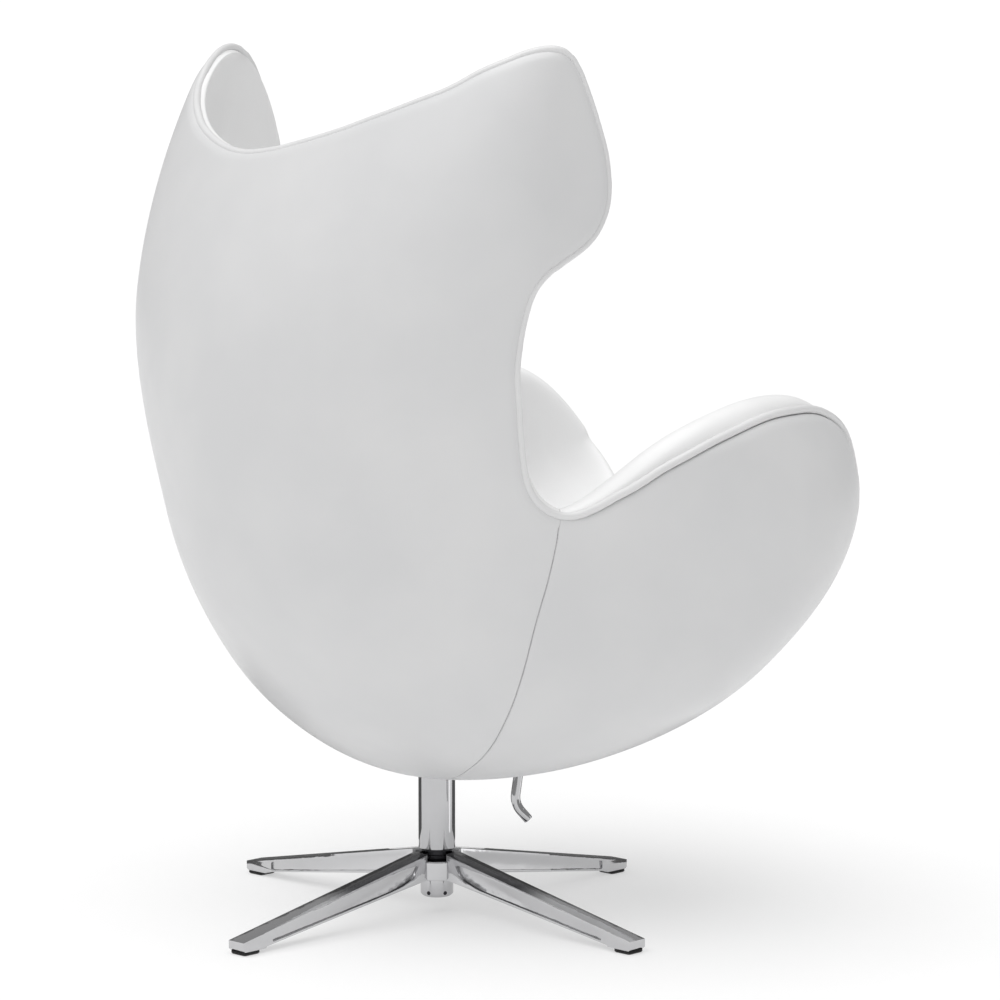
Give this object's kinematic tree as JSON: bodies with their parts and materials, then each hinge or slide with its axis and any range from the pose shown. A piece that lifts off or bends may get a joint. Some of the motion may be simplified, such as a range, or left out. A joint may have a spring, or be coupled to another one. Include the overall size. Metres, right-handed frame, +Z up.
{
  "type": "swivel lounge chair",
  "caption": "Wing-backed lounge chair: an upholstered egg-shaped shell that leans back on a tilt bracket and turns on a slim column above a star base.",
  "frame": {"origin": "on the floor, under the middle of the bounding box; the column axis is 50 mm behind it", "axes": "+Z up; the sitter faces -Y; +X is the sitter's left"},
  "size_m": [0.8328, 0.8243, 1.1034],
  "materials": {
    "leather": "satin",
    "padded_leather": "satin",
    "bright_metal": "polished",
    "cast_metal": "polished",
    "steel": "satin",
    "dark_metal": "satin",
    "black_plastic": "matte",
    "black_rubber": "matte",
    "nylon": "matte",
    "moulded_shell": "matte",
    "foam": "matte",
    "plywood": "matte"
  },
  "bodies": {
    "base": {"star_base": "cast_metal", "foot_pad_1": "black_plastic", "foot_pad_2": "black_plastic", "foot_pad_3": "black_plastic", "foot_pad_4": "black_plastic", "glide_stem_1": "steel", "glide_stem_2": "steel", "glide_stem_3": "steel", "glide_stem_4": "steel", "column_collar": "dark_metal", "column_tube": "bright_metal", "hub_sleeve": "bright_metal", "set_screw_1": "dark_metal", "set_screw_2": "dark_metal", "lower_bush": "nylon", "upper_bush": "black_plastic"},
    "swivel": {"spindle": "steel", "retaining_ring": "dark_metal", "thrust_washer": "nylon", "tilt_bracket": "dark_metal", "spindle_nut": "steel", "pivot_pin": "steel", "front_buffer": "black_rubber", "rear_buffer": "black_rubber", "tilt_spring": "steel"},
    "seat": {"mount_plate": "dark_metal", "bearer_l": "plywood", "bearer_r": "plywood", "plate_bolt_1": "steel", "plate_bolt_2": "steel", "plate_bolt_3": "steel", "plate_bolt_4": "steel", "lever_pin": "steel", "back_cover": "leather", "seat_cover": "leather", "hard_shell": "moulded_shell", "back_lining": "padded_leather", "seat_lining": "padded_leather", "seat_base_foam": "foam", "seat_cushion": "padded_leather", "edge_welt": "leather", "lever_bezel": "black_plastic"},
    "lever": {"lever_rod": "bright_metal"}
  },
  "joints": [
    {"name": "seat_swivel", "type": "hinge", "parent": "base", "child": "swivel", "pos_m": [0, 0.05, 0.2], "axis": [0, 0, 1], "continuous": true},
    {"name": "seat_tilt", "type": "hinge", "parent": "swivel", "child": "seat", "pos_m": [0, 0.05, 0.25], "axis": [-1, 0, 0], "range_deg": [0, 12], "stiffness_Nm_per_rad": 150, "springref_deg": -11.46},
    {"name": "lever_swing", "type": "hinge", "parent": "seat", "child": "lever", "pos_m": [-0.1, -0.018, 0.25], "axis": [-1, 0, 0], "range_deg": [0, 18], "stiffness_Nm_per_rad": 0.4, "springref_deg": -17.19}
  ]
}
